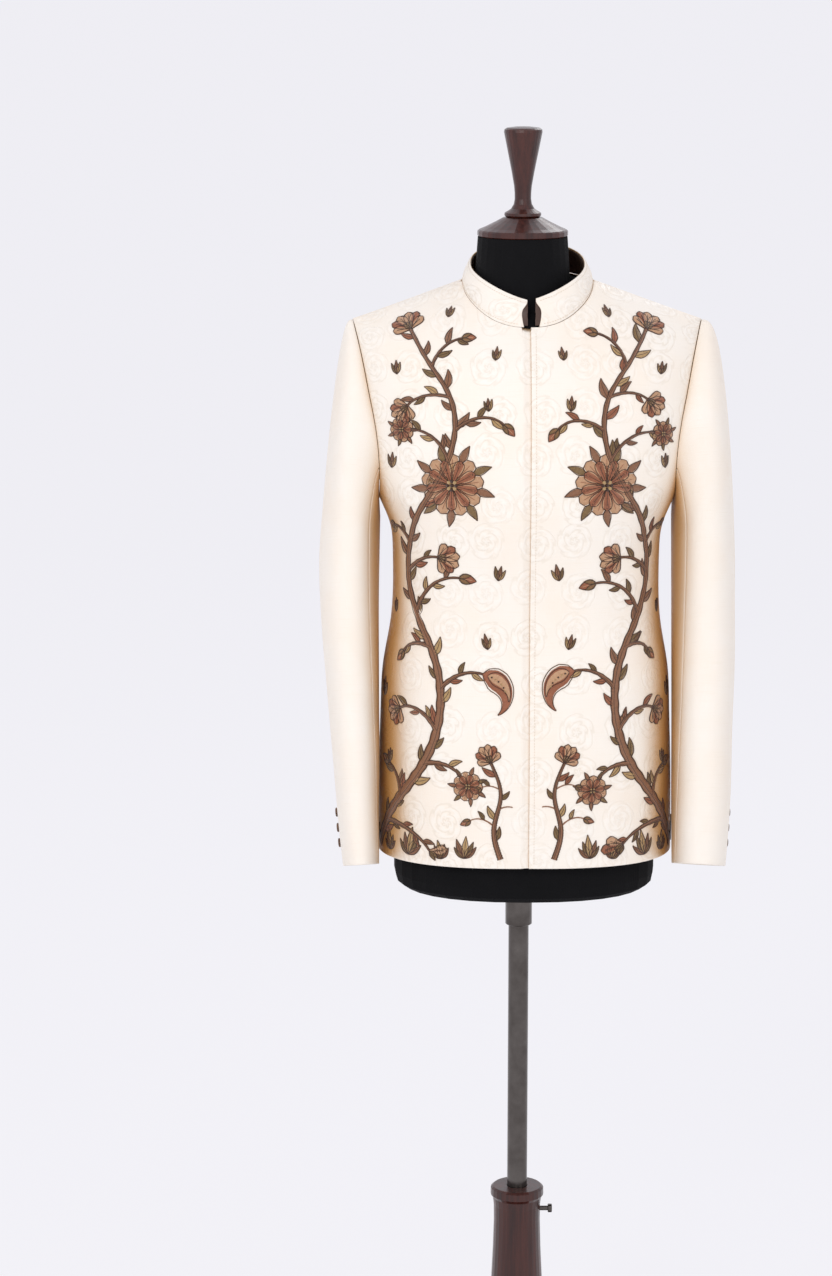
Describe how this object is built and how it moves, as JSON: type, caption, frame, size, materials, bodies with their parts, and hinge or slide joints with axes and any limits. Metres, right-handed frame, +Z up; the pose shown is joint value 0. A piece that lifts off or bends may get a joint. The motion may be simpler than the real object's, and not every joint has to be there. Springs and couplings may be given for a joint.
{
  "type": "bandhgala jacket on a dress form",
  "caption": "Cream brocade jacket with a band collar, a concealed front closing and long sleeves, worn by a limbless dress form on a turned stand that slides and turns.",
  "frame": {"origin": "on the floor at the centre of the base's underside, on the pole's axis", "axes": "+Z up along the pole, the jacket's front faces -Y, +X is the wearer's left"},
  "size_m": [0.5032, 0.37, 1.6578],
  "materials": {
    "brocade": "silk jacquard, soft sheen",
    "lining": "satin lining",
    "button": "horn-like, polished",
    "form_cover": "black jersey cover",
    "polished_wood": "dark red-brown, lacquered",
    "chrome": "plated tube"
  },
  "bodies": {
    "stand": {"base": "polished_wood", "column": "polished_wood"},
    "mast": {"pole": "chrome"},
    "dressed_form": {"form": "form_cover", "form_socket": "chrome", "neck_cap": "polished_wood", "finial": "polished_wood", "front_left": "brocade", "front_right": "brocade", "back": "brocade", "sleeve_left_top": "brocade", "sleeve_left_under": "brocade", "sleeve_right_top": "brocade", "sleeve_right_under": "brocade", "collar": "brocade", "collar_lining": "lining", "button_left_1": "button", "button_left_2": "button", "button_left_3": "button", "button_right_1": "button", "button_right_2": "button", "button_right_3": "button"},
    "clamp_screw": {"thumbscrew": "chrome"}
  },
  "joints": [
    {"name": "height", "type": "slide", "parent": "stand", "child": "mast", "axis": [0, 0, 1], "range_m": [-0.1, 0.12]},
    {"name": "turn", "type": "hinge", "parent": "mast", "child": "dressed_form", "pos_m": [0, 0, 0.705], "axis": [0, 0, 1], "continuous": true},
    {"name": "clamp_screw_turn", "type": "hinge", "parent": "stand", "child": "clamp_screw", "pos_m": [0.0385, 0, 0.308], "axis": [1, 0, 0], "continuous": true}
  ]
}
